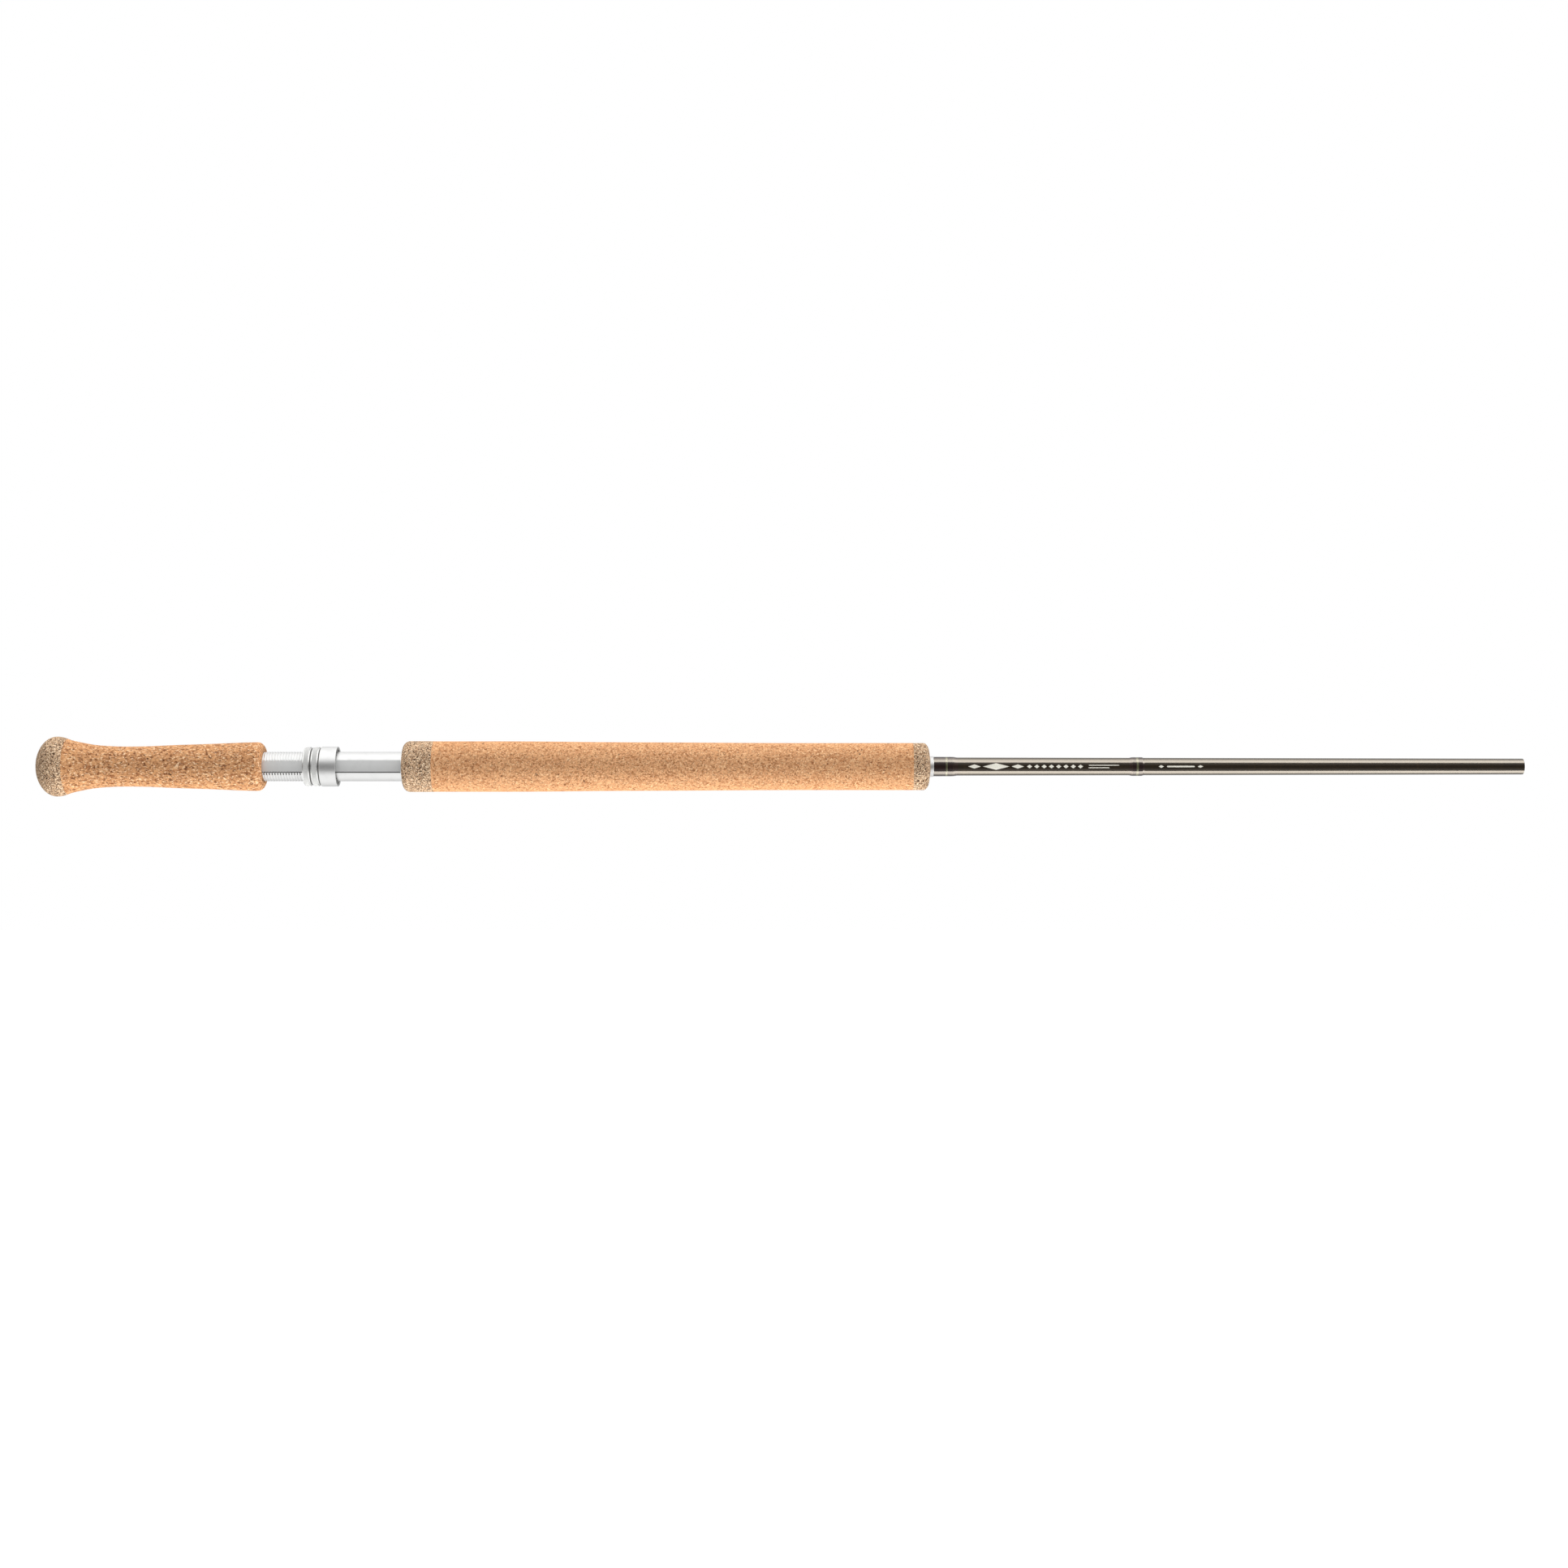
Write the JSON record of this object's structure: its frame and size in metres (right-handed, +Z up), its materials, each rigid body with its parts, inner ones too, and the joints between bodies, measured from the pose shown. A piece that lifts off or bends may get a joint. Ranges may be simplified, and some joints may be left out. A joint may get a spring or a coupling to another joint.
{
  "type": "fly rod butt section",
  "caption": "Butt section of a two-handed fly rod: cork grips, down-locking reel seat with screw lock rings and hood, and the thick end of a carbon blank.",
  "frame": {"origin": "middle of the section's length, on the rod's axis", "axes": "+X along the rod from the butt to the ferrule end, -Y out of the reel seat's milled flat, +Z up"},
  "size_m": [1.065, 0.043, 0.043],
  "materials": {
    "burl_cork": "rubberised burl cork, grey-brown with dark and tan grains, sanded matte",
    "flake_cork": "composite cork with long orange-brown flakes, sanded matte",
    "grip_cork": "fine composite cork, orange-tan with small dark pits, sanded matte",
    "carbon_blank": "dark olive-brown clear-coated carbon fibre, glossy",
    "anodised_aluminium": "silver anodised, satin",
    "knurled_aluminium": "silver anodised with a fine diamond knurl, bright edges",
    "pin_steel": "ground pin end",
    "washer_black": "dark moulded nylon, matte",
    "arbor_tape": "rolls of masking tape, matte",
    "plug_rubber": "black rubber, matte",
    "dark_thread": "dark burgundy nylon winding thread under varnish",
    "trim_thread": "pale green winding thread under varnish",
    "wrap_varnish": "clear glossy wrap varnish"
  },
  "bodies": {
    "rod": {"butt_cap": "burl_cork", "blank_plug": "plug_rubber", "lower_grip": "flake_cork", "blank": "carbon_blank", "reel_seat_barrel": "anodised_aluminium", "tape_arbor_1": "arbor_tape", "tape_arbor_2": "arbor_tape", "tape_arbor_3": "arbor_tape", "tape_arbor_4": "arbor_tape", "fixed_hood": "anodised_aluminium", "rear_burl_ring": "burl_cork", "upper_grip": "grip_cork", "front_burl_ring": "burl_cork", "winding_check": "anodised_aluminium", "hosel_wrap_rear": "dark_thread", "hosel_trim_band": "trim_thread", "hosel_wrap_front": "dark_thread", "hosel_coat": "wrap_varnish", "mid_wrap_rear": "dark_thread", "mid_trim_band": "trim_thread", "mid_wrap_front": "dark_thread", "mid_coat": "wrap_varnish"},
    "hood": {"sliding_hood": "anodised_aluminium", "hood_key_pin": "pin_steel", "thrust_washer": "washer_black"},
    "front_ring": {"front_lock_ring": "knurled_aluminium"},
    "washer": {"ring_washer": "washer_black"},
    "rear_ring": {"rear_lock_ring": "knurled_aluminium"}
  },
  "joints": [
    {"name": "hood_travel", "type": "slide", "parent": "rod", "child": "hood", "axis": [1, 0, 0], "range_m": [-0.016, 0.008]},
    {"name": "front_ring_spin", "type": "hinge", "parent": "hood", "child": "front_ring", "pos_m": [-0.3317, 0, 0], "axis": [1, 0, 0], "range_deg": [-2890, 1450]},
    {"name": "rear_ring_travel", "type": "slide", "parent": "front_ring", "child": "washer", "axis": [1, 0, 0], "range_m": [-0.005, 0]},
    {"name": "rear_ring_spin", "type": "hinge", "parent": "washer", "child": "rear_ring", "pos_m": [-0.3377, 0, 0], "axis": [1, 0, 0], "range_deg": [-910, 10]}
  ],
  "couplings": [
    {"joint": "front_ring_spin", "follows": "hood_travel", "rad_per_m": 3141.6},
    {"joint": "rear_ring_spin", "follows": "rear_ring_travel", "rad_per_m": 3141.6}
  ]
}
